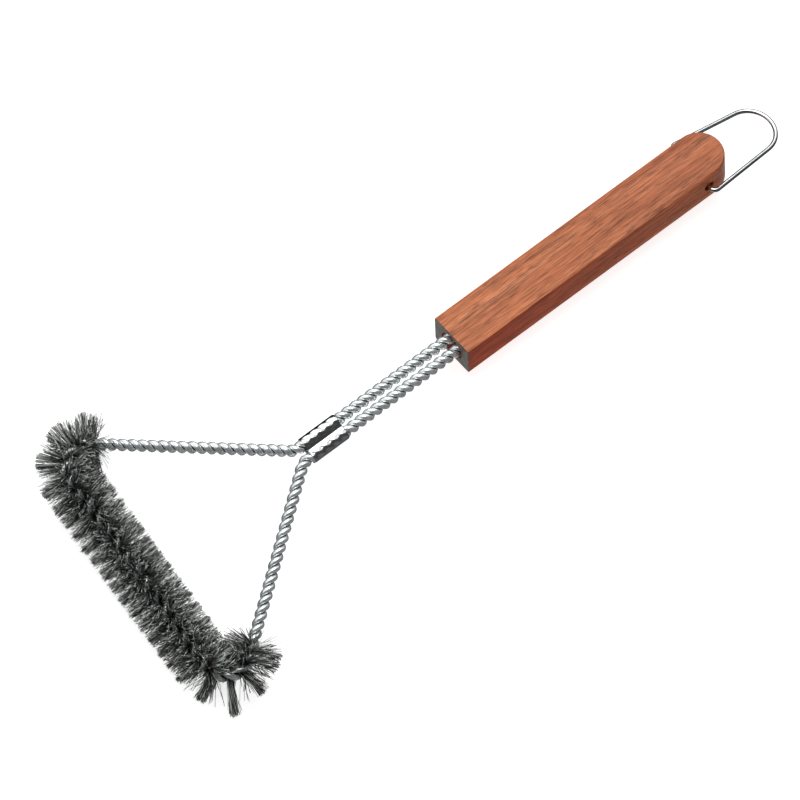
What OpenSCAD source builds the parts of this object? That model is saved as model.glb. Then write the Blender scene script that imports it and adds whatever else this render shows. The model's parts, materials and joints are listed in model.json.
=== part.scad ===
// Grill cleaning brush: wooden handle, twisted two-wire head bent to a triangle, steel bristles
// held in the twist, a crimped double ferrule and a wire hanging loop.
// Millimetres. The head lies in a level plane. +X runs from the bristles to the handle's butt.

/* [Wire head] */
// Diameter of one steel wire
wire_d = 3.6; // [2.5:0.1:3.7]
// Length of rope in which the two wires make one full turn, where there are no bristles
lay = 11.1; // [10:0.1:16]
// The same length where the bristles hold the wires' twist back
bristled_lay = 17.4; // [14:0.1:22]
// How far into the left corner the twist gets slower; it stays slow to the end of the right corner
slow_from = 3.8; // [0:0.1:10]
// Turn of the wires about the rope at the left stem's end, in degrees
first_turn = 127; // [0:1:180]
// Distance from the rope across the front to the point where the two legs would meet
head_depth = 117.4; // [100:0.1:130]
// Half the width of the triangle, to the sharp corner of its rope lines
head_half = 88.4; // [70:0.1:95]
// Bend radius of the rope's centre line at the two front corners
corner_r = 13.5; // [12:0.5:16]
// Bend radius of the rope's centre line where each leg becomes a stem
fork_r = 9; // [6:0.5:12]
// Distance between the two stems, centre to centre
stem_gap = 7.8; // [7.2:0.1:8.2]

/* [Bristles] */
// Diameter of the round brush
brush_d = 35; // [28:0.5:36]
// Length of bristles on the left leg, past the corner
left_run = 3; // [2:0.5:12]
// Length of bristles on the right leg, past the corner
right_run = 9; // [2:0.5:12]

/* [Ferrule] */
// Distance from the front rope to the ferrule's front edge
ferrule_x = 117.5; // [117.5:0.1:125]
// Length of the ferrule
ferrule_l = 24.2; // [18:0.1:30]
// Thickness of the ferrule's sheet
ferrule_wall = 0.5; // [0.4:0.05:0.9]

/* [Handle] */
// Distance from the front rope to the handle's front face
handle_x = 219.6; // [180:0.1:240]
// Length of the handle
handle_l = 189.3; // [160:0.1:220]
// Width of the handle
handle_w = 28.6; // [24:0.1:32]
// Height of the handle
handle_h = 22; // [18:0.1:24]
// Radius of the handle's eased long edges
edge_r = 1; // [0.8:0.1:3]
// Turn of the handle about its own axis against the level wire head, in degrees
handle_roll = 24; // [0:1:30]
// Diameter of the bore that holds the two stems
bore_d = 16.4; // [15.4:0.1:17]
// Depth of that bore
bore_l = 76; // [70:1:100]
// Depth that the stems reach into the bore
stem_in = 70; // [50:1:72]
// Depth at which the adhesive filling of the bore starts
glue_x = 7; // [3:1:20]

/* [Hanging loop] */
// Diameter of the loop's wire
loop_d = 2.6; // [2:0.1:3]
// Diameter of the cross hole for the loop's ends
eye_d = 6.4; // [4:0.1:8]
// Distance from the cross hole to the handle's rounded end
eye_back = 18.7; // [15.5:0.1:22]
// Distance from the cross hole to the centre line of the loop's crown
loop_reach = 55.1; // [45:0.1:65]
// Half the spread of the loop's legs at the cross hole, to their centre lines
loop_spread = 18.7; // [17:0.1:20]
// Angle at which each leg leans inwards, in degrees
loop_taper = 5.8; // [3:0.1:7]
// Bend radius of the wire beside the handle
loop_bend = 2.6; // [2:0.1:3.5]
// How far each bent end reaches into the handle, from the bend
loop_end = 8; // [5:0.5:10]
// Droop of the loop below the handle's axis, in degrees
loop_droop = 8; // [0:1:20]

/* [Hidden] */
$fn = 64;

wood = "#b4674a";
steel = "#c3c8ca";
chrome = "#dfe3e6";
dark_steel = "#3d3c38";
adhesive = "#4a3a2a";

// Clearance between pieces that sit close together
gap = 0.05;
rope_r = wire_d;
brush_r = brush_d / 2;
grip_r = rope_r + gap;

// The rope's route in the level plane, as the sharp corners of its centre line
stem_end = handle_x + stem_in;
fork_x = head_depth * (1 - stem_gap / 2 / head_half);
route = [
    [stem_end, stem_gap / 2], [fork_x, stem_gap / 2], [0, head_half],
    [0, -head_half], [fork_x, -stem_gap / 2], [stem_end, -stem_gap / 2]
];
radii = [0, fork_r, corner_r, corner_r, fork_r, 0];
lines = len(route) - 1;

// Straight and bent stretches of the route
function heading(i) = let (d = route[i + 1] - route[i]) atan2(d[1], d[0]);
function wrap(a) = a > 180 ? wrap(a - 360) : a < -180 ? wrap(a + 360) : a;
function turn(i) = wrap(heading(i) - heading(i - 1));
function cut(i) = i == 0 || i == lines ? 0 : radii[i] * tan(abs(turn(i)) / 2);
function line_len(i) = norm(route[i + 1] - route[i]) - cut(i) - cut(i + 1);
function arc_len(i) = i == lines ? 0 : radii[i] * abs(turn(i)) * PI / 180;
function total(i = 0) = i == lines ? 0 : line_len(i) + arc_len(i + 1) + total(i + 1);
function forward(a) = [cos(a), sin(a)];
function left_of(a) = [-sin(a), cos(a)];

// Point and heading at a distance s along the route
function station(s, i = 0) =
    let (straight = line_len(i), bent = arc_len(i + 1))
    s <= straight || i == lines - 1 ? [route[i] + (cut(i) + s) * forward(heading(i)), heading(i)] :
    s <= straight + bent ? bend_station(i + 1, (s - straight) / bent) :
    station(s - straight - bent, i + 1);
function bend_station(i, part) =
    let (
        before = heading(i - 1),
        now = before + part * turn(i),
        side = sign(turn(i)) * radii[i],
        start = route[i] - cut(i) * forward(before)
    )
    [start + side * (left_of(before) - left_of(now)), now];

// The stretch with the slower twist, and how far the wires have turned at a distance s
slow_start = line_len(0) + arc_len(1) + line_len(1) + slow_from;
slow_len = arc_len(2) - slow_from + line_len(2) + arc_len(3);
function slow_part(s) = min(max(s - slow_start, 0), slow_len);
function turned(s) = 360 * ((s - slow_part(s)) / lay + slow_part(s) / bristled_lay);
function lay_at(s) = s > slow_start && s < slow_start + slow_len ? bristled_lay : lay;

// A wire is swept in rings of six points that wind round the rope's centre line
ring_sides = 6;
rings_per_turn = 7;
route_len = total();
rings = ceil(route_len / lay * rings_per_turn);
function wire_ring(k, phase) =
    let (
        s = route_len * k / rings,
        here = station(s),
        twist = first_turn + turned(s) + phase,
        lay_angle = atan(PI * wire_d / lay_at(s)),
        ahead = concat(forward(here[1]), 0),
        left = concat(left_of(here[1]), 0),
        up = [0, 0, 1],
        out = cos(twist) * left + sin(twist) * up,
        round = cos(twist) * up - sin(twist) * left,
        across = cos(lay_angle) * round - sin(lay_angle) * ahead,
        centre = concat(here[0], 0) + wire_d / 2 * out
    )
    [for (j = [0 : ring_sides - 1])
        let (a = 360 * (j + 0.5) / ring_sides)
        centre + wire_d / 2 * (cos(a) * out + sin(a) * across)];

// Length of the straight bristled front, and of each of its groups
base_groups = 6;
base_half = head_half - cut(2);
group_len = 2 * base_half / base_groups;

// Loop: crown radius and centre, so that the crown runs smoothly into both legs
crown_r = (loop_spread * cos(loop_taper) - loop_reach * sin(loop_taper)) / (1 - sin(loop_taper));
crown_x = loop_reach - crown_r;
loop_turn = 90 + loop_taper;
bend_cut = loop_bend * tan(loop_turn / 2);
lap = 0.3;
straight_d = loop_d - 0.04;
leg_len = norm([crown_x + crown_r * sin(loop_taper), loop_spread - crown_r * cos(loop_taper)]);

// The whole brush lies on its bristles, centred over the origin
eye_x = handle_x + handle_l - eye_back;
front = -brush_r;
rear = eye_x + loop_reach * cos(loop_droop) + loop_d / 2;
module lay_down() {
    translate([-(front + rear) / 2, 0, brush_r])
        children();
}

// ---- Handle ----

module eased_section() {
    square([handle_w - 2 * edge_r, handle_h], center = true);
    square([handle_w, handle_h - 2 * edge_r], center = true);
    for (x = [-1, 1], y = [-1, 1])
        translate([x * (handle_w / 2 - edge_r), y * (handle_h / 2 - edge_r)])
            circle(edge_r);
}

module handle_blank() {
    rotate([90, 0, 90])
        linear_extrude(handle_l - handle_w / 2)
            eased_section();
    translate([handle_l - handle_w / 2, 0, 0])
        rotate([0, 0, -90])
            rotate_extrude(angle = 180)
                intersection() {
                    eased_section();
                    translate([0, -handle_h])
                        square(2 * handle_h);
                }
}

module handle() {
    color(wood)
        lay_down()
            translate([handle_x, 0, 0])
                rotate([-handle_roll, 0, 0])
                    difference() {
                        handle_blank();
                        translate([-1, 0, 0])
                            rotate([0, 90, 0])
                                cylinder(d = bore_d, h = bore_l + 1);
                        translate([handle_l - eye_back, 0, 0])
                            rotate([90, 0, 0])
                                cylinder(d = eye_d, h = 2 * handle_w, center = true);
                    }
}

module adhesive_plug() {
    color(adhesive)
        lay_down()
            translate([handle_x + glue_x, 0, 0])
                rotate([0, 90, 0])
                    difference() {
                        cylinder(d = bore_d - gap, h = bore_l - glue_x - gap);
                        for (side = [-1, 1])
                            translate([0, side * stem_gap / 2, -1])
                                cylinder(r = grip_r, h = stem_in - glue_x + 1 + gap);
                    }
}

// ---- Wire head ----

module wire(phase) {
    points = [for (k = [0 : rings]) each wire_ring(k, phase)];
    last = rings * ring_sides;
    caps = [
        [for (j = [0 : ring_sides - 1]) j],
        [for (j = [ring_sides - 1 : -1 : 0]) last + j]
    ];
    walls = [for (k = [0 : rings - 1], j = [0 : ring_sides - 1])
        let (a = k * ring_sides + j, b = k * ring_sides + (j + 1) % ring_sides)
        each [[a, a + ring_sides, b + ring_sides], [a, b + ring_sides, b]]];
    polyhedron(points, concat(caps, walls));
}

module wire_a() {
    color(steel)
        lay_down()
            wire(0);
}

module wire_b() {
    color(steel)
        lay_down()
            wire(180);
}

module ferrule() {
    barrel_r = grip_r + ferrule_wall;
    color(chrome)
        lay_down()
            translate([ferrule_x, 0, 0])
                rotate([0, 90, 0])
                    difference() {
                        for (side = [-1, 1])
                            translate([0, side * stem_gap / 2, 0])
                                cylinder(r = barrel_r, h = ferrule_l);
                        for (side = [-1, 1])
                            translate([0, side * stem_gap / 2, -1])
                                cylinder(r = grip_r, h = ferrule_l + 2);
                    }
}

// ---- Bristles ----

// Straight brush of length l along +Y from the origin, with room for the rope
module straight_brush(l) {
    rotate([-90, 0, 0])
        difference() {
            cylinder(r = brush_r, h = l);
            translate([0, 0, -1])
                cylinder(r = grip_r, h = l + 2);
        }
}

module bristles_base(i) {
    color(dark_steel)
        lay_down()
            translate([0, -base_half + i * group_len, 0])
                straight_brush(group_len);
}

// Brush round the left corner, from the straight front to the leg
module corner_brush() {
    translate([corner_r, base_half, 0])
        rotate([0, 0, 180 - turn(2)])
            rotate_extrude(angle = turn(2))
                intersection() {
                    difference() {
                        translate([corner_r, 0])
                            circle(brush_r);
                        translate([corner_r, 0])
                            circle(grip_r);
                    }
                    translate([0, -brush_r])
                        square(2 * brush_r + corner_r);
                }
}

// Brush on the left leg, cut off where it would run into the straight front's bristles
module leg_brush(run) {
    start = bend_station(2, 0);
    difference() {
        translate(concat(start[0], 0))
            rotate([0, 0, start[1] + 90])
                straight_brush(run);
        rotate([90, 0, 0])
            cylinder(r = brush_r + gap, h = 2 * base_half, center = true);
    }
}

module bristles_corner_left() {
    color(dark_steel)
        lay_down()
            corner_brush();
}

module bristles_corner_right() {
    color(dark_steel)
        lay_down()
            mirror([0, 1, 0])
                corner_brush();
}

module bristles_leg_left() {
    color(dark_steel)
        lay_down()
            leg_brush(left_run);
}

module bristles_leg_right() {
    color(dark_steel)
        lay_down()
            mirror([0, 1, 0])
                leg_brush(right_run);
}

// ---- Hanging loop ----

// Half of the loop on the +Y side, flat in the level plane with the cross hole's axis on Y.
// The straight stretches are a hair thinner and run a little way into the bends, so that the
// loop is one solid.
module half_loop() {
    inside = loop_spread - bend_cut - loop_end;
    translate([0, inside, 0])
        rotate([-90, 0, 0])
            cylinder(d = straight_d, h = loop_end + lap);
    translate([loop_bend, loop_spread - bend_cut, 0])
        rotate([0, 0, 180 - loop_turn])
            rotate_extrude(angle = loop_turn)
                translate([loop_bend, 0])
                    circle(d = loop_d);
    translate([0, loop_spread, 0])
        rotate([0, 90, -loop_taper])
            translate([0, 0, bend_cut - lap])
                cylinder(d = straight_d, h = leg_len - bend_cut + 2 * lap);
}

module crown() {
    translate([crown_x, 0, 0])
        rotate([0, 0, loop_taper - 90])
            rotate_extrude(angle = 180 - 2 * loop_taper)
                translate([crown_r, 0])
                    circle(d = loop_d);
}

module hanging_loop() {
    color(chrome)
        lay_down()
            translate([eye_x, 0, 0])
                rotate([-handle_roll, loop_droop, 0]) {
                    crown();
                    half_loop();
                    mirror([0, 1, 0])
                        half_loop();
                }
}

handle();
adhesive_plug();
wire_a();
wire_b();
ferrule();
bristles_leg_left();
bristles_corner_left();
bristles_base(0);  // bristles_base_1
bristles_base(1);  // bristles_base_2
bristles_base(2);  // bristles_base_3
bristles_base(3);  // bristles_base_4
bristles_base(4);  // bristles_base_5
bristles_base(5);  // bristles_base_6
bristles_corner_right();
bristles_leg_right();
hanging_loop();
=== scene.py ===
"""Grill cleaning brush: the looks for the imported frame. All lengths are in metres."""
import json
import math

import bmesh
import bpy
import numpy as np
from mathutils import Matrix, Vector


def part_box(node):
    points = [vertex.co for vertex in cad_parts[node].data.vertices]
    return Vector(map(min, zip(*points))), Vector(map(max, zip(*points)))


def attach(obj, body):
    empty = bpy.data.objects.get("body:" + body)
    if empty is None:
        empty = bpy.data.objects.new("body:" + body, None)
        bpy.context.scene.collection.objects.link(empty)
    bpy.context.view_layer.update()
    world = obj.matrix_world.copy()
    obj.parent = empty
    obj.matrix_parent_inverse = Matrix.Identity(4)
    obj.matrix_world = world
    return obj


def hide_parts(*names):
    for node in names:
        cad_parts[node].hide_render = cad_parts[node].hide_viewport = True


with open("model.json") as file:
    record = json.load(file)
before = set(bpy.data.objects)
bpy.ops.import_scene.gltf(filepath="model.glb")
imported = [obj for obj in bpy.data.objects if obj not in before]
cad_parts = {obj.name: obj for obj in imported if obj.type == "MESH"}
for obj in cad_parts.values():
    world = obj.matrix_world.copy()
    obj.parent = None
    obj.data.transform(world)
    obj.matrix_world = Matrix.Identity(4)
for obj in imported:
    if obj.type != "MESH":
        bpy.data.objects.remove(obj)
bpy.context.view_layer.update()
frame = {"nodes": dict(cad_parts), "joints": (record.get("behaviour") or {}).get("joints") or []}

MM = 0.001  # one millimetre
RNG = np.random.default_rng(817)  # every random draw comes from here, in a fixed order

# ---- Driving dimensions of the brush, as the design has them ----

WIRE_R = 1.8 * MM
LAY = 11.1 * MM  # one full turn of the rope
BRISTLED_LAY = 17.4 * MM
SLOW_FROM = 3.8 * MM  # into the left corner
FIRST_TURN = math.radians(127)
LEFT_RUN = 3.0 * MM  # of bristles up the left leg
RIGHT_RUN = 9.0 * MM  # and up the right leg
STEM_GAP = 7.8 * MM
HEAD_DEPTH = 117.4 * MM
HEAD_HALF = 88.4 * MM
CORNER_R = 13.5 * MM
FORK_R = 9.0 * MM
STEM_IN = 70.0 * MM
HANDLE_W = 28.6 * MM
HANDLE_H = 22.0 * MM
EDGE_R = 1.0 * MM
BORE_R = 8.2 * MM
BORE_L = 76.0 * MM
EYE_R = 3.2 * MM
LOOP_R = 1.3 * MM
LOOP_REACH = 55.1 * MM
LOOP_SPREAD = 18.7 * MM
LOOP_TAPER = math.radians(5.8)
LOOP_BEND = 2.6 * MM
LOOP_END = 8.0 * MM
LOOP_DROOP = math.radians(8.0)
FERRULE_WALL = 0.5 * MM
FERRULE_CRIMP = 0.5 * MM

# ---- Places, read from the frame ----

front_low, front_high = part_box("bristles_base_1")
BRUSH_R = (front_high.x - front_low.x) / 2
ROPE_X = (front_low.x + front_high.x) / 2
ROPE_Z = (front_low.z + front_high.z) / 2
HANDLE_X0, HANDLE_X1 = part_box("handle")[0].x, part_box("handle")[1].x
FERRULE_X0, FERRULE_X1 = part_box("ferrule")[0].x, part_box("ferrule")[1].x
swing = next(j for j in frame["joints"] if j["name"] == "loop_swing")
EYE = Vector(swing["pos_m"])
EYE_AXIS = Vector(swing["axis"]).normalized()
HANDLE_ROLL = math.atan2(EYE_AXIS.z, EYE_AXIS.y)
HANDLE_L = HANDLE_X1 - HANDLE_X0


# ---- Route of the rope, in the level plane through the wires ----

def polar(a):
    """Unit vector at angle a."""
    return np.array([math.cos(a), math.sin(a)])


class Route:
    """Centre line of the rope: straight stretches joined by round bends."""

    def __init__(self):
        fork_x = HEAD_DEPTH * (1 - STEM_GAP / 2 / HEAD_HALF)
        end_x = HANDLE_X0 - ROPE_X + STEM_IN
        half = STEM_GAP / 2
        corners = [(end_x, half), (fork_x, half), (0, HEAD_HALF),
                   (0, -HEAD_HALF), (fork_x, -half), (end_x, -half)]
        radii = [0, FORK_R, CORNER_R, CORNER_R, FORK_R, 0]
        corners = [np.array([x + ROPE_X, y]) for x, y in corners]
        steps = np.diff(corners, axis=0)
        headings = [math.atan2(d[1], d[0]) for d in steps]
        self.parts, self.starts = [], []
        s = cut = 0.0
        for i, heading in enumerate(headings):
            turn = radius = after = 0.0
            if i + 1 < len(headings):
                turn = (headings[i + 1] - heading + math.pi) % (2 * math.pi) - math.pi
                radius = radii[i + 1]
                after = radius * math.tan(abs(turn) / 2)
            length = float(np.linalg.norm(steps[i])) - cut - after
            start = corners[i] + cut * polar(heading)
            self._add(s, "line", start, heading, length, 0.0)
            s += length
            if radius:
                self._add(s, "bend", start + length * polar(heading), heading, radius * abs(turn), turn)
                s += radius * abs(turn)
            cut = after
        self.length = s
        self.slow = (self.stretch("bend", 1)[0] + SLOW_FROM, self.stretch("bend", 2)[1])

    def _add(self, s, kind, start, heading, length, turn):
        self.starts.append(s)
        self.parts.append((kind, start, heading, length, turn))

    def at(self, s):
        """Point on the centre line and heading, at distance s from the left stem's end."""
        i = max(k for k, first in enumerate(self.starts) if s >= first or k == 0)
        kind, start, heading, length, turn = self.parts[i]
        d = s - self.starts[i]
        if kind == "line":
            point, now = start + d * polar(heading), heading
        else:
            now = heading + turn * d / length
            side = math.copysign(length / abs(turn), turn)
            left = polar(heading + math.pi / 2)
            point = start + side * (left - polar(now + math.pi / 2))
        return Vector((point[0], point[1], ROPE_Z)), now

    def stretch(self, kind, number):
        """First and last distance of the given line or bend, counted from 0."""
        found = [i for i, p in enumerate(self.parts) if p[0] == kind][number]
        return self.starts[found], self.starts[found] + self.parts[found][3]


ROUTE = Route()


def twist(s):
    """How far the two wires have turned round each other at distance s; slower where the bristles are."""
    first, last = ROUTE.slow
    slow = np.clip(s - first, 0.0, last - first)
    return FIRST_TURN + 2 * math.pi * ((s - slow) / LAY + slow / BRISTLED_LAY)


def wire_on_top(first, last):
    """Distance, nearest the middle of the stretch, at which one wire lies right on top of the other."""
    s = np.linspace(first, last, 400)
    crossing = abs(np.cos(twist(s))) + 0.2 * abs(s - (first + last) / 2) / (last - first)
    return s[np.argmin(crossing)]


# ---- Mesh helpers ----

MERGE = 1e-7  # points closer than this are one


def new_object(name, verts, faces, smooth=True):
    mesh = bpy.data.meshes.new(name)
    mesh.from_pydata([tuple(v) for v in verts], [], faces)
    mesh.polygons.foreach_set("use_smooth", [smooth] * len(mesh.polygons))
    mesh.update()
    obj = bpy.data.objects.new(name, mesh)
    bpy.context.scene.collection.objects.link(obj)
    return obj


def add_uv(obj, uv_of_vert):
    """One UV per vertex; u runs half round the wire from its first direction, v along it, in metres."""
    layer = obj.data.uv_layers.new(name="UVMap")
    index = np.empty(len(obj.data.loops), dtype=np.int32)
    obj.data.loops.foreach_get("vertex_index", index)
    layer.data.foreach_set("uv", np.asarray(uv_of_vert, dtype=np.float32)[index].ravel())


def tube(name, centres, outs, radius, sides):
    """Round bar along centres. outs gives the direction in which each ring starts.

    radius is one number, or one for each ring."""
    centres = [Vector(c) for c in centres]
    count = len(centres)
    verts, uvs, run = [], [], 0.0
    for i, c in enumerate(centres):
        ahead = (centres[min(i + 1, count - 1)] - centres[max(i - 1, 0)]).normalized()
        out = Vector(outs[i])
        out = (out - out.dot(ahead) * ahead).normalized()
        across = ahead.cross(out)
        if i:
            run += (c - centres[i - 1]).length
        r = radius[i] if isinstance(radius, (list, tuple)) else radius
        for j in range(sides):
            a = 2 * math.pi * j / sides
            verts.append(c + r * (math.cos(a) * out + math.sin(a) * across))
            uvs.append((r * (math.pi - abs(a - math.pi)), run))
    faces = [(i * sides + j, i * sides + (j + 1) % sides,
              (i + 1) * sides + (j + 1) % sides, (i + 1) * sides + j)
             for i in range(count - 1) for j in range(sides)]
    faces.append(tuple(reversed(range(sides))))
    faces.append(tuple((count - 1) * sides + j for j in range(sides)))
    obj = new_object(name, verts, faces)
    add_uv(obj, uvs)
    return obj


def fix_mesh(obj, merge=False):
    """Turns all faces outwards; merge first joins points that lie on each other."""
    mesh = bmesh.new()
    mesh.from_mesh(obj.data)
    if merge:
        bmesh.ops.remove_doubles(mesh, verts=mesh.verts, dist=MERGE)
        bmesh.ops.dissolve_degenerate(mesh, edges=mesh.edges, dist=MERGE)
    bmesh.ops.recalc_face_normals(mesh, faces=mesh.faces)
    mesh.to_mesh(obj.data)
    mesh.free()


def apply_modifiers(obj):
    graph = bpy.context.evaluated_depsgraph_get()
    made = bpy.data.meshes.new_from_object(obj.evaluated_get(graph))
    obj.modifiers.clear()
    obj.data = made


# ---- Material helpers ----

FACTOR, FIRST, SECOND = 0, 6, 7  # the inputs of a Mix node in colour mode
MIXED = 2  # and its colour output


def material(name):
    """A new material, its node tree and its shader."""
    mat = bpy.data.materials.new(name)
    mat.use_nodes = True
    tree = mat.node_tree
    bsdf = tree.nodes["Principled BSDF"]
    return mat, tree, bsdf


def node(tree, kind, **values):
    """A new node; each value sets the input or the property of that name."""
    made = tree.nodes.new(kind)
    for key, value in values.items():
        if key in made.inputs:
            made.inputs[key].default_value = value
        else:
            setattr(made, key, value)
    return made


def link(tree, a, output, b, socket):
    tree.links.new(a.outputs[output], b.inputs[socket])


def ramp(tree, stops):
    """A colour ramp; each stop is a position and a colour."""
    made = tree.nodes.new("ShaderNodeValToRGB")
    band = made.color_ramp
    while len(band.elements) < len(stops):
        band.elements.new(0.5)
    for element, (where, colour) in zip(band.elements, stops):
        element.position = where
        element.color = (*colour, 1.0)
    return made


def grey(v):
    return (v, v, v)


def mix_colour(tree, blend, factor, a, b):
    """A Mix node in colour mode. factor, a and b are numbers, colours or (node, output) pairs."""
    made = tree.nodes.new("ShaderNodeMix")
    made.data_type = "RGBA"
    made.blend_type = blend
    for number, value in ((FACTOR, factor), (FIRST, a), (SECOND, b)):
        socket = made.inputs[number]
        if isinstance(value, tuple) and len(value) == 2:
            tree.links.new(value[0].outputs[value[1]], socket)
        else:
            socket.default_value = value
    return made


def stretched_noise(tree, place, scale, detail=4.0, rough=0.55, distortion=0.0):
    """Noise of a scale that differs by axis, in cycles per metre along x, y and z."""
    mapping = node(tree, "ShaderNodeMapping")
    mapping.inputs["Scale"].default_value = scale
    tree.links.new(place, mapping.inputs["Vector"])
    noise = node(tree, "ShaderNodeTexNoise", Detail=detail, Roughness=rough, Distortion=distortion)
    noise.inputs["Scale"].default_value = 1.0
    link(tree, mapping, "Vector", noise, "Vector")
    return noise


def bump(tree, height, distance, strength, bsdf):
    made = node(tree, "ShaderNodeBump", Distance=distance, Strength=strength)
    tree.links.new(height, made.inputs["Height"])
    link(tree, made, "Normal", bsdf, "Normal")


def levelled(tree, source, output):
    """The source's vector, turned back by the handle's roll."""
    level = node(tree, "ShaderNodeMapping")
    level.inputs["Rotation"].default_value = (-HANDLE_ROLL, 0, 0)
    link(tree, source, output, level, "Vector")
    return level


def wood_material():
    """Reddish-brown lacquered wood: broad bands, fine streaks and pores along the handle."""
    mat, tree, bsdf = material("lacquered_hardwood")
    coord = node(tree, "ShaderNodeTexCoord")
    place = levelled(tree, coord, "Object").outputs["Vector"]
    streaks = stretched_noise(tree, place, (34, 900, 800), detail=5, rough=0.8)
    grained = grain_colour(tree, place, streaks)
    pores = pore_mask(tree, place)
    coloured = mix_colour(tree, "MIX", 0.0, (grained, MIXED), (0.13, 0.030, 0.014, 1.0))
    link(tree, pores, MIXED, coloured, FACTOR)
    # Painted shade on the side faces, with a painted sheen towards the butt.
    painted_side_tone = painted_side_shade(tree, coord)
    coloured = mix_colour(tree, "MULTIPLY", 1.0, (coloured, MIXED), (painted_side_tone, MIXED))
    # Painted sheen near the front, fading to darker wood towards the butt.
    front_sheen_dark_butt_tone = front_sheen_dark_butt(tree, coord)
    coloured = mix_colour(tree, "MULTIPLY", 1.0, (coloured, MIXED), (front_sheen_dark_butt_tone, "Color"))
    end_grain = end_grain_colour(tree, coord)
    whole = mix_colour(tree, "MIX", 0.0, (coloured, MIXED), (end_grain, MIXED))
    link(tree, front_face_mask(tree, coord), "Color", whole, FACTOR)
    link(tree, whole, MIXED, bsdf, "Base Color")

    rough = ramp(tree, [(0.3, grey(0.34)), (0.7, grey(0.48))])
    link(tree, streaks, "Fac", rough, "Fac")
    link(tree, rough, "Color", bsdf, "Roughness")
    bsdf.inputs["Specular IOR Level"].default_value = 0.14
    bsdf.inputs["Coat Weight"].default_value = 0.04
    bsdf.inputs["Coat Roughness"].default_value = 0.15
    sunk = mix_colour(tree, "SUBTRACT", 1.0, (streaks, "Fac"), (pores, MIXED))
    bump(tree, sunk.outputs[MIXED], 0.12 * MM, 0.4, bsdf)
    return mat


def grain_colour(tree, place, streaks):
    """Broad bands of three browns, with light and dark streaks in them."""
    bands = stretched_noise(tree, place, (5, 130, 90), detail=3, distortion=0.5)
    tone = ramp(tree, [(0.3, (0.36, 0.098, 0.034)), (0.5, (0.48, 0.150, 0.056)),
                       (0.72, (0.575, 0.206, 0.090))])
    link(tree, bands, "Fac", tone, "Fac")
    streak_tone = ramp(tree, [(0.36, grey(0.30)), (0.46, grey(0.86)), (0.60, grey(1.35))])
    link(tree, streaks, "Fac", streak_tone, "Fac")
    return mix_colour(tree, "MULTIPLY", 0.9, (tone, "Color"), (streak_tone, "Color"))


def pore_mask(tree, place):
    """Short fine pores, light in each pore; some patches have deeper ones."""
    pores = stretched_noise(tree, place, (95, 2300, 2000), detail=1, rough=0.4)
    patches = stretched_noise(tree, place, (16, 90, 90), detail=2)
    pore = ramp(tree, [(0.57, grey(0)), (0.63, grey(0.9))])
    link(tree, pores, "Fac", pore, "Fac")
    patch = ramp(tree, [(0.35, grey(0.5)), (0.65, grey(0.9))])
    link(tree, patches, "Fac", patch, "Fac")
    return mix_colour(tree, "MULTIPLY", 1.0, (pore, "Color"), (patch, "Color"))


def painted_side_shade(tree, coord):
    """Painted shade on the sides, deepest near the front; towards the butt it lightens into a painted
    sheen.
    """
    geometry = node(tree, "ShaderNodeNewGeometry")
    split = node(tree, "ShaderNodeSeparateXYZ")
    link(tree, levelled(tree, geometry, "Normal"), "Vector", split, "Vector")
    flat = node(tree, "ShaderNodeMath", operation="ABSOLUTE")
    link(tree, split, "Z", flat, 0)
    upright = ramp(tree, [(0.45, grey(1)), (0.80, grey(0))])
    link(tree, flat, "Value", upright, "Fac")
    side_shade_tone = ramp(tree, [(0.1, (0.80, 0.30, 0.12)), (0.9, (1.10, 0.90, 0.68))])
    link(tree, along_handle(tree, coord, 0, HANDLE_L), "Result", side_shade_tone, "Fac")
    shade = mix_colour(tree, "MIX", 0.0, (1.0, 1.0, 1.0, 1.0), (side_shade_tone, "Color"))
    link(tree, upright, "Color", shade, FACTOR)
    return shade


def along_handle(tree, coord, first, last):
    """0 to 1 from first to last, measured along the handle from its front face."""
    split = node(tree, "ShaderNodeSeparateXYZ")
    link(tree, coord, "Object", split, "Vector")
    span = node(tree, "ShaderNodeMapRange")
    span.inputs["From Min"].default_value = HANDLE_X0 + first
    span.inputs["From Max"].default_value = HANDLE_X0 + last
    link(tree, split, "X", span, "Value")
    return span


def front_face_mask(tree, coord):
    """White on the sawn front face of the handle, black elsewhere."""
    mask = ramp(tree, [(0.1, grey(1)), (0.5, grey(0))])
    link(tree, along_handle(tree, coord, 0, 1 * MM), "Result", mask, "Fac")
    return mask


def front_sheen_dark_butt(tree, coord):
    """A painted sheen near the front greys the wood; it fades towards the butt, which is darker."""
    shade = ramp(tree, [(0.15, (1.0, 1.06, 1.14)), (0.65, (0.80, 0.77, 0.82))])
    link(tree, along_handle(tree, coord, 0, HANDLE_L), "Result", shade, "Fac")
    return shade


def end_grain_colour(tree, coord):
    """Greyed end grain: fine pits over uneven growth layers."""
    pits = stretched_noise(tree, coord.outputs["Object"], (900, 1500, 1500), detail=2)
    layers = stretched_noise(tree, coord.outputs["Object"], (100, 140, 420), detail=4, distortion=0.6)
    layer_tone = ramp(tree, [(0.3, (0.062, 0.050, 0.044)), (0.7, (0.135, 0.120, 0.108))])
    link(tree, layers, "Fac", layer_tone, "Fac")
    pit_tone = ramp(tree, [(0.40, grey(0.55)), (0.52, grey(1.0))])
    link(tree, pits, "Fac", pit_tone, "Fac")
    return mix_colour(tree, "MULTIPLY", 0.8, (layer_tone, "Color"), (pit_tone, "Color"))


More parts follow.
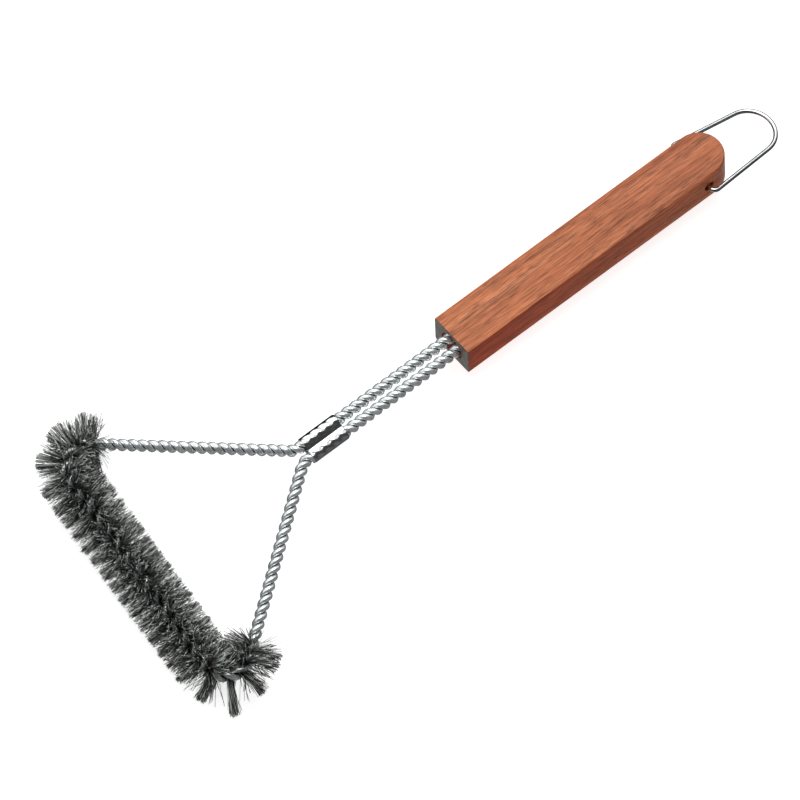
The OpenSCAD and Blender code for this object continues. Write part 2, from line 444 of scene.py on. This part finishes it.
def drawn_wire_material(name, base, low, high, metal=1.0, crevice=False):
    """Bright metal with fine lines drawn along it. low and high are its least and most roughness.

    With crevice, painted shade darkens each wire where it meets the other."""
    mat, tree, bsdf = material(name)
    coord = node(tree, "ShaderNodeTexCoord")
    lines = stretched_noise(tree, coord.outputs["UV"], (5200, 90, 1), detail=3)
    cloud = stretched_noise(tree, coord.outputs["Object"], (160, 160, 160), detail=4)
    tone = ramp(tree, [(0.3, tuple(c * 0.8 for c in base)), (0.62, base)])
    link(tree, cloud, "Fac", tone, "Fac")
    shade = ramp(tree, [(0.25, grey(0.86)), (0.6, grey(1.0))])
    link(tree, lines, "Fac", shade, "Fac")
    colour = mix_colour(tree, "MULTIPLY", 0.7, (tone, "Color"), (shade, "Color"))
    if crevice:
        # Painted shade where the two wires meet.
        painted_crevice_tone = painted_crevice_shade(tree, coord)
        colour = mix_colour(tree, "MULTIPLY", 1.0, (colour, MIXED), (painted_crevice_tone, "Color"))
    tree.links.new(colour.outputs[MIXED], bsdf.inputs["Base Color"])
    bsdf.inputs["Metallic"].default_value = metal
    rough = ramp(tree, [(0.3, grey(low)), (0.7, grey(high))])
    link(tree, cloud, "Fac", rough, "Fac")
    link(tree, rough, "Color", bsdf, "Roughness")
    bump(tree, lines.outputs["Fac"], 0.02 * MM, 0.25, bsdf)
    return mat


def painted_crevice_shade(tree, coord):
    """Painted shade: full colour on a wire's free side, nearly black on the side that faces the other
    wire.
    """
    split = node(tree, "ShaderNodeSeparateXYZ")
    link(tree, coord, "UV", split, "Vector")
    span = node(tree, "ShaderNodeMapRange")
    span.inputs["From Max"].default_value = math.pi * WIRE_R
    link(tree, split, "X", span, "Value")
    shade = ramp(tree, [(0.45, grey(1.0)), (0.59, grey(0.48)), (0.70, grey(0.09))])
    link(tree, span, "Result", shade, "Fac")
    return shade


def bristle_material():
    """Dark drawn steel; each filament has its own tone."""
    mat, tree, bsdf = material("bristle_steel")
    tone = node(tree, "ShaderNodeAttribute", attribute_name="tone")
    colour = ramp(tree, [(0.0, (0.020, 0.021, 0.019)), (0.35, (0.085, 0.09, 0.082)),
                         (0.62, (0.38, 0.40, 0.37)), (0.90, (0.90, 0.94, 0.91))])
    link(tree, tone, "Fac", colour, "Fac")
    coord = node(tree, "ShaderNodeTexCoord")
    cloud = stretched_noise(tree, coord.outputs["Object"], (260, 260, 260), detail=2)
    shade = ramp(tree, [(0.35, grey(0.75)), (0.65, grey(1.1))])
    link(tree, cloud, "Fac", shade, "Fac")
    mixed = mix_colour(tree, "MULTIPLY", 0.8, (colour, "Color"), (shade, "Color"))
    tree.links.new(mixed.outputs[MIXED], bsdf.inputs["Base Color"])
    bsdf.inputs["Metallic"].default_value = 0.35
    rough = ramp(tree, [(0.3, grey(0.30)), (0.7, grey(0.46))])
    link(tree, cloud, "Fac", rough, "Fac")
    link(tree, rough, "Color", bsdf, "Roughness")
    return mat


def adhesive_material():
    """Dark brown, lumpy, half matt."""
    mat, tree, bsdf = material("cured_adhesive")
    coord = node(tree, "ShaderNodeTexCoord")
    cloud = stretched_noise(tree, coord.outputs["Object"], (300, 300, 300), detail=4)
    tone = ramp(tree, [(0.3, (0.025, 0.014, 0.008)), (0.7, (0.09, 0.055, 0.03))])
    link(tree, cloud, "Fac", tone, "Fac")
    link(tree, tone, "Color", bsdf, "Base Color")
    bsdf.inputs["Roughness"].default_value = 0.5
    bump(tree, cloud.outputs["Fac"], 0.3 * MM, 0.6, bsdf)
    return mat


def floor_material():
    """Nearly white and faintly lit from within, as a studio sweep is."""
    mat, tree, bsdf = material("pale_floor")
    coord = node(tree, "ShaderNodeTexCoord")
    cloud = stretched_noise(tree, coord.outputs["Object"], (6, 6, 6), detail=2)
    tone = ramp(tree, [(0.3, grey(0.56)), (0.7, grey(0.58))])
    link(tree, cloud, "Fac", tone, "Fac")
    link(tree, tone, "Color", bsdf, "Base Color")
    bsdf.inputs["Roughness"].default_value = 0.7
    bsdf.inputs["Emission Color"].default_value = (1, 1, 1, 1)
    bsdf.inputs["Emission Strength"].default_value = 0.8
    return mat


def finish_piece(obj, mat, body, cad_node):
    """Gives the piece its material and its body, and hides the CAD node that it stands for."""
    obj.data.materials.clear()
    obj.data.materials.append(mat)
    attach(obj, body)
    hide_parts(cad_node)
    return obj


# ---- Camera and light ----

def make_camera():
    """A long lens at the photograph's angle: 17 degrees from straight above, leaning to the bristles."""
    tilt = math.radians(17.3)
    heading = math.radians(36.2)
    frame_width = 432.4 * MM
    distance = 14.4
    along = Vector((math.cos(tilt), 0, math.sin(tilt)))
    back = Vector((-math.sin(tilt), 0, math.cos(tilt)))
    right = math.cos(heading) * along - math.sin(heading) * Vector((0, 1, 0))
    up = math.sin(heading) * along + math.cos(heading) * Vector((0, 1, 0))
    across, above = 141.2 * MM, 94.2 * MM
    middle = Vector((ROPE_X, 0, ROPE_Z)) + across * right + above * up
    data = bpy.data.cameras.new("camera")
    data.sensor_width = 36.0
    data.lens = data.sensor_width * distance / frame_width
    data.clip_start = 1.0
    data.clip_end = 50.0
    camera = bpy.data.objects.new("camera", data)
    bpy.context.scene.collection.objects.link(camera)
    turn = Matrix((right, up, back)).transposed()
    camera.matrix_world = Matrix.Translation(middle + distance * back) @ turn.to_4x4()
    bpy.context.scene.camera = camera


def area_light(name, where, size, power):
    """A rectangular light that faces the middle of the brush."""
    data = bpy.data.lights.new(name, "AREA")
    data.shape = "RECTANGLE"
    data.size, data.size_y = size
    data.energy = power
    light = bpy.data.objects.new(name, data)
    bpy.context.scene.collection.objects.link(light)
    aim = -Vector(where)
    light.location = where
    light.rotation_mode = "QUATERNION"
    light.rotation_quaternion = aim.to_track_quat("-Z", "Y")
    return light


def make_stage():
    """Plain pale floor and soft studio light."""
    half = 3.0
    corners = [(-half, -half, 0), (half, -half, 0), (half, half, 0), (-half, half, 0)]
    floor = new_object("floor", corners, [(0, 1, 2, 3)], smooth=False)
    floor.data.materials.append(floor_material())
    floor.visible_glossy = False
    area_light("key", (0.55, 1.5, 1.3), (1.6, 1.0), 14)
    area_light("top", (0.1, 0.9, 1.9), (1.5, 1.0), 12)
    fill = area_light("fill", (-0.5, -1.4, 0.9), (1.0, 0.8), 5)
    fill.visible_glossy = False
    studio_world()
    bpy.context.scene.view_settings.view_transform = "Standard"


def studio_world():
    """White walls on the +Y side and straight below, dark room on the -Y side, for the metal to mirror."""
    world = bpy.data.worlds.new("studio")
    bpy.context.scene.world = world
    world.use_nodes = True
    tree = world.node_tree
    coord = node(tree, "ShaderNodeTexCoord")
    half = node(tree, "ShaderNodeMapping")
    half.inputs["Location"].default_value = (0.5, 0.5, 0.5)
    half.inputs["Scale"].default_value = (0.5, 0.5, 0.5)
    link(tree, coord, "Generated", half, "Vector")
    split = node(tree, "ShaderNodeSeparateXYZ")
    link(tree, half, "Vector", split, "Vector")
    above = ramp(tree, [(0.0, grey(0.14)), (0.2, grey(0.05)), (0.50, grey(0.07)), (0.60, grey(0.95))])
    link(tree, split, "Y", above, "Fac")
    below = ramp(tree, [(0.0, grey(0.85)), (0.12, grey(0.65)), (0.18, grey(0.06)), (0.5, grey(0.10))])
    link(tree, split, "Z", below, "Fac")
    shaded = ramp(tree, [(0.5, grey(1.0)), (0.64, grey(0.06))])
    link(tree, split, "Y", shaded, "Fac")
    ground = mix_colour(tree, "MULTIPLY", 1.0, (below, "Color"), (shaded, "Color"))
    horizon = ramp(tree, [(0.49, grey(0.0)), (0.52, grey(1.0))])
    link(tree, split, "Z", horizon, "Fac")
    whole = mix_colour(tree, "MIX", 0.0, (ground, MIXED), (above, "Color"))
    link(tree, horizon, "Color", whole, FACTOR)
    link(tree, whole, MIXED, tree.nodes["Background"], "Color")
    tree.nodes["Background"].inputs["Strength"].default_value = 1.0


# ---- Handle ----

def handle_outline():
    """Half of the section, from the top's middle round one side to the bottom's middle."""
    half_w, half_h, steps = HANDLE_W / 2, HANDLE_H / 2, 6
    points = [(0.0, half_h)]
    for k in range(steps + 1):
        a = math.radians(90 - 90 * k / steps)
        points.append((half_w - EDGE_R + EDGE_R * math.cos(a), half_h - EDGE_R + EDGE_R * math.sin(a)))
    points += [(y, -z) for y, z in reversed(points)]
    return points


def handle_blank():
    """Handle without its holes, along +X from its front face, level."""
    outline = handle_outline()
    straight = HANDLE_L - HANDLE_W / 2
    turns = 48
    rings = [[(0.0, -y, z) for y, z in outline]]
    for k in range(turns + 1):
        a = math.radians(-90 + 180 * k / turns)
        rings.append([(straight + y * math.cos(a), y * math.sin(a), z) for y, z in outline])
    rings.append([(0.0, y, z) for y, z in outline])
    count = len(outline)
    verts = [p for ring in rings for p in ring]
    faces = [(i * count + j, (i + 1) * count + j, (i + 1) * count + j + 1, i * count + j + 1)
             for i in range(len(rings) - 1) for j in range(count - 1)]
    last = (len(rings) - 1) * count
    faces.append(tuple(list(range(count)) + [last + j for j in range(count - 2, 0, -1)]))
    obj = new_object("handle_wood", verts, faces)
    fix_mesh(obj, merge=True)
    return obj


def drill(obj, start, direction, radius, length, sides=64):
    """Cuts a round hole from start along direction."""
    start, direction = Vector(start), Vector(direction).normalized()
    side = direction.orthogonal()
    cutter = tube("cutter", [start, start + direction * length], [side, side], radius, sides)
    cut = obj.modifiers.new("hole", "BOOLEAN")
    cut.operation, cut.solver, cut.object = "DIFFERENCE", "EXACT", cutter
    apply_modifiers(obj)
    bpy.data.objects.remove(cutter)


def make_handle(mat):
    """The bar with its bore for the stems, its cross hole for the loop and eased edges."""
    obj = handle_blank()
    lead = 5 * MM
    drill(obj, (-lead, 0, 0), (1, 0, 0), BORE_R, BORE_L + lead)
    eye_x = EYE.x - HANDLE_X0
    drill(obj, (eye_x, -HANDLE_W, 0), (0, 1, 0), EYE_R, 2 * HANDLE_W, sides=40)
    ease = obj.modifiers.new("ease", "BEVEL")
    ease.limit_method = "ANGLE"
    ease.angle_limit = math.radians(40)
    ease.width = 0.45 * MM
    ease.segments = 3
    apply_modifiers(obj)
    obj.data.polygons.foreach_set("use_smooth", [True] * len(obj.data.polygons))
    even = obj.modifiers.new("even", "WEIGHTED_NORMAL")
    even.keep_sharp = True
    apply_modifiers(obj)
    place = Matrix.Translation((HANDLE_X0, 0, ROPE_Z)) @ Matrix.Rotation(HANDLE_ROLL, 4, "X")
    obj.data.transform(place)
    return finish_piece(obj, mat, "brush", "handle")


# ---- Twisted wires ----

def make_wire(name, phase, mat, cad_node):
    """One of the two round wires; phase is where it starts round the rope's centre line."""
    rings_per_turn, sides = 20, 14
    count = int(ROUTE.length / LAY * rings_per_turn)
    centres, outs = [], []
    for k in range(count + 1):
        s = ROUTE.length * k / count
        point, heading = ROUTE.at(s)
        a = twist(s) + phase
        left = Vector((-math.sin(heading), math.cos(heading), 0))
        out = math.cos(a) * left + math.sin(a) * Vector((0, 0, 1))
        centres.append(point + WIRE_R * out)
        outs.append(out)
    obj = tube(name, centres, outs, WIRE_R, sides)
    return finish_piece(obj, mat, "brush", cad_node)


# ---- Ferrule ----

def stem_twist(x, side):
    """Twist of the wires in the left (+1) or right (-1) stem at the row's x."""
    end_x = HANDLE_X0 + STEM_IN
    s = end_x - x if side > 0 else ROUTE.length - (end_x - x)
    return twist(s)


def ferrule_ring(x, swell):
    """Figure-8 outline of the ferrule at x. Its top and bottom are pressed onto the twist of the wires."""
    base = 2 * WIRE_R + 0.05 * MM + swell
    reach, steps = math.radians(122), 32
    ring = []
    for side in (1, -1):
        turn = -side * stem_twist(x, side)
        for k in range(steps + 1):
            off = -reach + 2 * reach * k / steps
            a = off if side > 0 else math.pi + off
            held = min(1.0, (abs(off) / math.radians(52)) ** 3, (reach - abs(off)) / math.radians(15))
            r = base + FERRULE_CRIMP * held * (math.cos(2 * (a - turn)) - 1) / 2
            ring.append((x, side * STEM_GAP / 2 + r * math.cos(a), ROPE_Z + r * math.sin(a)))
        ring += valley(x, base, reach, side)
    return ring


def valley(x, base, reach, side):
    """Sheet between the two barrels, on the top for the first barrel and on the bottom for the second."""
    half = STEM_GAP / 2 + base * math.cos(reach)
    edge = base * math.sin(reach)
    depth = half / 2 * math.tan(reach - math.pi / 2)
    return [(x, side * half * t, ROPE_Z + side * (edge - depth * (1 - t * t)))
            for t in (0.6, 0.2, -0.2, -0.6)]


def make_ferrule(mat):
    """Thin sheet round both stems, with rounded lips at its ends."""
    lip = 0.25 * MM
    stations = 48
    outer, inner = [], []
    for k in range(stations + 1):
        x = FERRULE_X0 + (FERRULE_X1 - FERRULE_X0) * k / stations
        edge = min(x - FERRULE_X0, FERRULE_X1 - x)
        ease = 1 - math.sqrt(max(0.0, 1 - (1 - min(edge / lip, 1)) ** 2))
        outer.append(ferrule_ring(x, FERRULE_WALL - lip * ease))
        inner.append(ferrule_ring(x, 0.0))
    rings = outer + inner[::-1]
    count = len(outer[0])
    total = len(rings)
    verts = [p for ring in rings for p in ring]
    faces = [(i * count + j, i * count + (j + 1) % count,
              (i + 1) % total * count + (j + 1) % count, (i + 1) % total * count + j)
             for i in range(total) for j in range(count)]
    obj = new_object("ferrule_sheet", verts, faces)
    fix_mesh(obj)
    return finish_piece(obj, mat, "brush", "ferrule")


# ---- Bristles ----

FILAMENT_R = 0.165 * MM
FILAMENT_POINTS = 9  # three rings of three
PER_MM = 28  # filaments for each millimetre of rope
CLUMP = 1.3 * MM  # length of rope that holds one clump
CLUMP_PULL = 0.25  # share of the way by which a filament is drawn to its clump's middle
PARTED = (-5.5 * MM, 6.0 * MM)  # the parting, before and after its middle
LONG_TUFT = 0.27  # how much longer the outer row is at the parting
LONG_TUFT_RUN = 4.2 * MM
FLOOR_GAP = 0.25 * MM  # between the tips and the floor


def filaments(first, last, row_spread, stray, cover, parting=None):
    """Steel filaments held between the wires from distance first to last on the route.

    row_spread is how far, in degrees, the filaments stray out of the two main rows round the rope.
    stray and cover are the shares of bent filaments and of those that stand off the two main rows.
    At a parting there are none of either, none that stand up, and the outer row is longer.
    Each filament is made as two halves, one to each side of the rope."""
    count = int((last - first) / MM * PER_MM)
    s = np.sort(RNG.uniform(first, last, count))
    clump = np.floor((s - first) / CLUMP).astype(int)
    s = s + CLUMP_PULL * (first + (clump + 0.5) * CLUMP - s)
    root, ahead, left = places_on_route(s)
    parted = np.zeros(count, dtype=bool)
    if parting is not None:
        parted = (s > parting + PARTED[0]) & (s < parting + PARTED[1])
    halves = []
    for side in (0.5, 1.5):
        kind = RNG.uniform(size=count)
        reach = np.clip(RNG.normal(0.985, 0.022, count), 0.9, 1.03)
        kind = np.where(parted, 0.5, kind)
        bent = kind < stray
        loose = kind > 1 - cover
        a = twist(s) + side * math.pi + angle_off_row(bent, loose, row_spread)
        tilt = tilt_along_rope(a, bent, loose, clump)
        sideways = np.cos(a)
        out = sideways[:, None] * left + np.sin(a)[:, None] * np.array([0.0, 0.0, 1.0])
        out = np.cos(tilt)[:, None] * out + np.sin(tilt)[:, None] * ahead
        if parting is not None:
            near = np.exp(-((s - parting) / LONG_TUFT_RUN) ** 2)
            reach = reach + LONG_TUFT * near * (sideways < -0.5)
        falling = np.maximum(-out[:, 2], 1e-6)
        length = np.minimum(BRUSH_R * reach, (ROPE_Z - FLOOR_GAP) / falling)
        bend = RNG.normal(0, 0.014, (count, 3)) * length[:, None]
        keep = ~(parted & (out[:, 2] > 0.4))
        halves.append((root[keep], out[keep], length[keep], bend[keep]))
    return halves


def places_on_route(s):
    """Point on the centre line, direction along it and direction to its left, for each distance."""
    stations = [ROUTE.at(v) for v in s]
    root = np.array([p[:] for p, _ in stations])
    heading = np.array([h for _, h in stations])
    level = np.zeros(len(s))
    ahead = np.stack([np.cos(heading), np.sin(heading), level], axis=1)
    left = np.stack([-np.sin(heading), np.cos(heading), level], axis=1)
    return root, ahead, left


def angle_off_row(bent, loose, row_spread):
    """How far each filament stands off its row round the rope, in radians."""
    spread = RNG.normal(0, np.where(bent, 24.0, row_spread))
    spread = np.where(loose, RNG.uniform(-90, 90, len(bent)), spread)
    return np.radians(spread)


def tilt_along_rope(a, bent, loose, clump):
    """How far each filament leans along the rope, in radians; the upright ones are splayed most."""
    splay = 3.5 + 12.0 * np.maximum(np.sin(a), 0.0) ** 2
    tilt = RNG.normal(0, np.where(bent, 21.0, np.where(loose, 14.0, splay)))
    tilt = tilt + RNG.normal(0, 1.6, clump.max() + 1)[clump]
    return np.radians(tilt)


def filament_points(root, out, length, bend):
    """The rings of each filament, from near the rope's middle to its tip."""
    helper = np.where(np.abs(out[:, 2:3]) < 0.8, [[0.0, 0.0, 1.0]], [[1.0, 0.0, 0.0]])
    e1 = np.cross(out, helper)
    e1 /= np.linalg.norm(e1, axis=1, keepdims=True)
    e2 = np.cross(out, e1)
    verts = np.empty((len(root), 3, 3, 3))
    for k, part in enumerate((0.03, 0.55, 1.0)):
        centre = root + out * (length * part)[:, None] + bend * part ** 2
        for j in range(3):
            a = 2 * math.pi * j / 3
            verts[:, k, j] = centre + FILAMENT_R * (math.cos(a) * e1 + math.sin(a) * e2)
    verts = verts.reshape(-1, 3)
    verts[:, 2] = np.maximum(verts[:, 2], 0.1 * MM)
    return verts


def filament_faces(count):
    """The corners of all faces, one after another, and how many each face has."""
    sides = [(k * 3 + j, k * 3 + (j + 1) % 3, (k + 1) * 3 + (j + 1) % 3, (k + 1) * 3 + j)
             for k in range(2) for j in range(3)]
    caps = [(2, 1, 0), (6, 7, 8)]
    first = np.arange(count)[:, None, None] * FILAMENT_POINTS
    side_faces = (first + np.array(sides)[None]).reshape(-1, 4)
    cap_faces = (first + np.array(caps)[None]).reshape(-1, 3)
    corners = np.concatenate([side_faces.ravel(), cap_faces.ravel()])
    sizes = np.concatenate([np.full(len(side_faces), 4), np.full(len(cap_faces), 3)])
    return corners, sizes


def filament_mesh(name, halves, mat, cad_node):
    """One object of many filaments; the attribute tone tells them apart."""
    root, out, length, bend = (np.concatenate(column) for column in zip(*halves))
    count = len(root)
    verts = filament_points(root, out, length, bend)
    corners, sizes = filament_faces(count)
    mesh = bpy.data.meshes.new(name)
    mesh.vertices.add(len(verts))
    mesh.vertices.foreach_set("co", verts.ravel())
    mesh.loops.add(len(corners))
    mesh.loops.foreach_set("vertex_index", corners)
    mesh.polygons.add(len(sizes))
    mesh.polygons.foreach_set("loop_start", np.concatenate([[0], np.cumsum(sizes)[:-1]]))
    mesh.polygons.foreach_set("loop_total", sizes)
    mesh.polygons.foreach_set("use_smooth", np.ones(len(sizes), dtype=bool))
    mesh.update(calc_edges=True)
    mesh.validate()
    tone = mesh.attributes.new("tone", "FLOAT", "POINT")
    tones = np.repeat(RNG.beta(0.6, 0.9, count), FILAMENT_POINTS)
    tone.data.foreach_set("value", tones.astype(np.float32))
    obj = bpy.data.objects.new(name, mesh)
    bpy.context.scene.collection.objects.link(obj)
    return finish_piece(obj, mat, "brush", cad_node)


def make_bristles(mat):
    """Each zone: CAD node, first and last distance, then row_spread, stray and cover."""
    base_first, base_last = ROUTE.stretch("line", 2)
    left_corner = ROUTE.stretch("bend", 1)
    right_corner = ROUTE.stretch("bend", 2)
    groups = 6
    group = (base_last - base_first) / groups
    zones = [("bristles_leg_left", left_corner[0] - LEFT_RUN, left_corner[0], 6, 0.06, 0.04),
             ("bristles_corner_left", *left_corner, 8, 0.08, 0.08)]
    for i in range(groups):
        first = base_last - (i + 1) * group
        zones.append((f"bristles_base_{i + 1}", first, first + group, 17, 0.12, 0.28))
    zones += [("bristles_corner_right", *right_corner, 9, 0.16, 0.10),
              ("bristles_leg_right", right_corner[1], right_corner[1] + RIGHT_RUN, 9, 0.20, 0.10)]
    for cad_node, first, last, *habit in zones:
        parting = wire_on_top(first, last) if cad_node == "bristles_corner_right" else None
        filament_mesh(cad_node + "_steel", filaments(first, last, *habit, parting), mat, cad_node)


# ---- Hanging loop ----

def loop_path():
    """The +Y half of the loop's centre line in its own plane, from its end inside the hole."""
    c, s = math.cos(LOOP_TAPER), math.sin(LOOP_TAPER)
    crown_r = (LOOP_SPREAD * c - LOOP_REACH * s) / (1 - s)
    crown_x = LOOP_REACH - crown_r
    turn = math.pi / 2 + LOOP_TAPER
    cut = LOOP_BEND * math.tan(turn / 2)
    points = [(0.0, LOOP_SPREAD - cut - LOOP_END * (1 - k / 4)) for k in range(4)]
    for k in range(13):
        a = math.pi - turn * k / 12
        points.append((LOOP_BEND + LOOP_BEND * math.cos(a), LOOP_SPREAD - cut + LOOP_BEND * math.sin(a)))
    x0, y0 = points[-1]
    x1, y1 = crown_x + crown_r * s, crown_r * c
    points += [(x0 + (x1 - x0) * k / 8, y0 + (y1 - y0) * k / 8) for k in range(1, 8)]
    for k in range(25):
        a = (math.pi / 2 - LOOP_TAPER) * (1 - k / 24)
        points.append((crown_x + crown_r * math.cos(a), crown_r * math.sin(a)))
    return points


def make_loop(mat):
    """Bent wire with both ends in the cross hole, drooping from the handle's middle plane."""
    half = loop_path()
    flat = half + [(x, -y) for x, y in reversed(half[:-1])]
    place = (Matrix.Translation(EYE) @ Matrix.Rotation(HANDLE_ROLL, 4, "X")
             @ Matrix.Rotation(LOOP_DROOP, 4, "Y"))
    centres = [place @ Vector((x, y, 0)) for x, y in flat]
    normal = (place.to_3x3() @ Vector((0, 0, 1))).normalized()
    blunt = [LOOP_R] * len(centres)
    blunt[0] = blunt[-1] = LOOP_R * 0.8
    obj = tube("loop_wire", centres, [normal] * len(centres), blunt, 20)
    return finish_piece(obj, mat, "loop", "hanging_loop")


# ---- Build ----

make_camera()
make_stage()
make_handle(wood_material())
wire_steel = drawn_wire_material(
    "galvanised_wire", (0.95, 0.995, 1.0), 0.15, 0.27, metal=0.76, crevice=True)
make_wire("wire_a_steel", 0.0, wire_steel, "wire_a")
make_wire("wire_b_steel", math.pi, wire_steel, "wire_b")
make_ferrule(drawn_wire_material("bright_plating", (0.88, 0.89, 0.91), 0.06, 0.12))
make_bristles(bristle_material())
make_loop(drawn_wire_material("bright_wire", (0.66, 0.68, 0.70), 0.08, 0.15))

plug = frame["nodes"]["adhesive_plug"]
plug.data.materials.clear()
plug.data.materials.append(adhesive_material())
